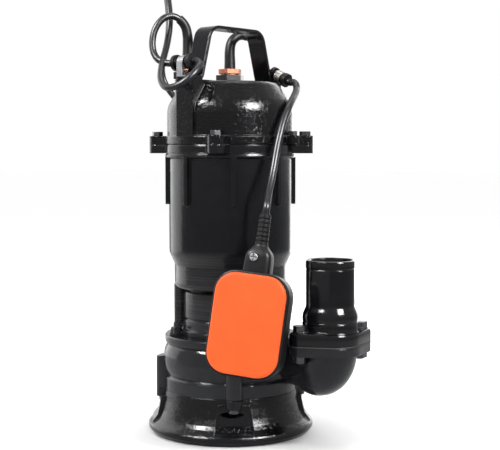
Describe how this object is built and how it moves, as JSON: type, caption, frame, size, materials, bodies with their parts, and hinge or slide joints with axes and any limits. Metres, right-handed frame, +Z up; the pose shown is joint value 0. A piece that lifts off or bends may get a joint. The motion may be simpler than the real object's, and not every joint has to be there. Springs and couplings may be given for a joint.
{
  "type": "submersible pump",
  "caption": "Submersible pump: flared foot, spiral volute with an upright hose tail, ribbed motor housing, domed lid with strap handle, and a float switch on a cord.",
  "frame": {"origin": "on the pump's vertical axis, at the height of the floor that the foot's lip stands on", "axes": "+Z up along the motor shaft, +X towards the discharge outlet's pipe axis, +Y towards the float cord's gland and the float's clip"},
  "size_m": [0.3537, 0.2985, 0.4733],
  "materials": {
    "black_paint": "gloss black paint over coarse cast iron",
    "black_zinc": "blackened steel fasteners, slightly worn at the edges",
    "cast_iron": "bare grey cast iron, machined on the working faces",
    "gasket_rubber": "matt black rubber",
    "ceramic": "pale ground ceramic seal ring",
    "stainless": "turned stainless steel",
    "bearing_steel": "ground bearing steel",
    "silicon_steel": "stacked electrical steel laminations",
    "copper_winding": "enamelled copper wire, varnished",
    "bracket_iron": "bare grey cast iron",
    "capacitor_case": "white plastic capacitor case",
    "gland_plastic": "black moulded gland body",
    "copper_nut": "copper-coloured metal nut, satin",
    "cord_rubber": "matt black rubber",
    "clip_metal": "bright zinc-plated steel strip",
    "float_orange": "satin orange moulded plastic",
    "float_black": "satin black moulded plastic",
    "cord_sheath": "black rubber cord sheath with a soft sheen",
    "tie_plastic": "black cord strap",
    "plug_plastic": "black moulded plug",
    "pin_metal": "nickel-plated pins"
  },
  "bodies": {
    "pump": {"base_foot": "black_paint", "foot_bolts": "black_zinc", "suction_plate": "cast_iron", "volute_casing": "black_paint", "discharge_gasket": "gasket_rubber", "hose_connector": "black_paint", "discharge_bolts": "black_zinc", "discharge_nuts": "black_zinc", "oil_chamber": "black_paint", "chamber_bolts": "black_zinc", "oil_plug": "black_zinc", "lip_seal": "gasket_rubber", "seal_seat": "ceramic", "lower_bearing_outer": "bearing_steel", "lower_bearing_balls": "bearing_steel", "upper_bearing_outer": "bearing_steel", "upper_bearing_balls": "bearing_steel", "stator_core": "silicon_steel", "stator_windings": "copper_winding", "motor_housing": "black_paint", "upper_bracket": "bracket_iron", "capacitor": "capacitor_case", "lid_seal": "gasket_rubber", "top_cover": "black_paint", "lid_bolts": "black_zinc", "test_plug": "black_zinc", "handle": "black_paint", "handle_screws": "black_zinc", "gland_bodies": "gland_plastic", "gland_nuts": "copper_nut", "power_cord_boot": "cord_rubber", "float_cord_boot": "cord_rubber", "power_clip": "clip_metal", "power_clip_sleeve": "cord_rubber", "float_clip": "clip_metal", "float_clip_sleeve": "cord_rubber", "float_cord_fixed": "cord_sheath", "power_cord_lead": "cord_sheath", "power_cord_coil": "cord_sheath", "power_cord_tail": "cord_sheath", "coil_tie": "tie_plastic", "power_plug": "plug_plastic", "plug_pins": "pin_metal"},
    "rotor": {"shaft": "stainless", "rotor_core": "silicon_steel", "impeller": "cast_iron", "cutter": "stainless", "impeller_bolt": "stainless", "lower_bearing_inner": "bearing_steel", "upper_bearing_inner": "bearing_steel", "seal_head": "stainless"},
    "float": {"float_front_shell": "float_orange", "float_back_shell": "float_black", "float_rim": "float_black", "float_cap": "float_black", "float_boot": "cord_rubber", "float_screw": "stainless", "float_switch": "float_black", "float_cord_free": "cord_sheath"},
    "ball": {"float_ball": "bearing_steel"}
  },
  "joints": [
    {"name": "rotor_spin", "type": "hinge", "parent": "pump", "child": "rotor", "pos_m": [0, 0, 0.149], "axis": [0, 0, 1], "continuous": true},
    {"name": "float_swing", "type": "hinge", "parent": "pump", "child": "float", "pos_m": [0.0332, 0.06, 0.3638], "axis": [-1, 0, 0], "range_deg": [0, 100]},
    {"name": "float_ball_slide", "type": "slide", "parent": "float", "child": "ball", "axis": [0.0318, 0.1705, 0.9848], "range_m": [0, 0.05]}
  ]
}
